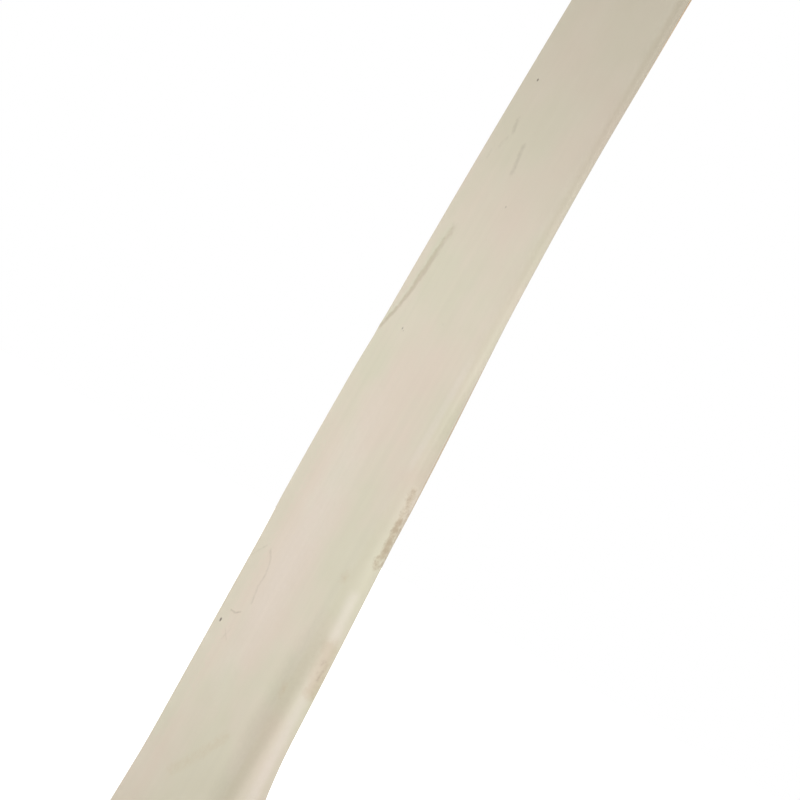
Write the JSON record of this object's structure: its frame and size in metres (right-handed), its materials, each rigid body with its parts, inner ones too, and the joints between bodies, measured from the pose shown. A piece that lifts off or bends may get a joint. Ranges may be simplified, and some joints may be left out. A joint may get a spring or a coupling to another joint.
{
  "type": "cricket bat",
  "caption": "Full-size cricket bat: willow blade under a cream face film, with a spliced, laminated cane handle, twine binding, rubber grip and toe guard.",
  "frame": {"origin": "middle of the hand grip's straight wall, on the handle's axis", "axes": "+Z runs along the bat towards the top of the handle, the striking face looks towards -Y, the spine of the back towards +Y, and X is across the blade's width"},
  "size_m": [0.1078, 0.0416, 0.85],
  "materials": {
    "willow": "oiled willow with straight grain, satin",
    "film": "cream polymer film, satin, scuffed and lightly stained",
    "guard_rubber": "matt black rubber strip",
    "cane": "glued cane, fine dark fibres",
    "spring_rubber": "red-brown sheet rubber",
    "twine": "waxed linen twine, close-wound",
    "grip_rubber": "moulded dark blue rubber, matt",
    "tape": "white cotton tape"
  },
  "bodies": {
    "root": {"blade": "willow", "face_film": "film", "toe_guard": "guard_rubber", "cane_1_1": "cane", "cane_1_2": "cane", "cane_1_3": "cane", "cane_2_1": "cane", "cane_2_2": "cane", "cane_2_3": "cane", "cane_3_1": "cane", "cane_3_2": "cane", "cane_3_3": "cane", "cane_4_1": "cane", "cane_4_2": "cane", "cane_4_3": "cane", "spring_1": "spring_rubber", "spring_2": "spring_rubber", "spring_3": "spring_rubber", "twine": "twine", "grip": "grip_rubber", "grip_tape": "tape"}
  },
  "joints": []
}
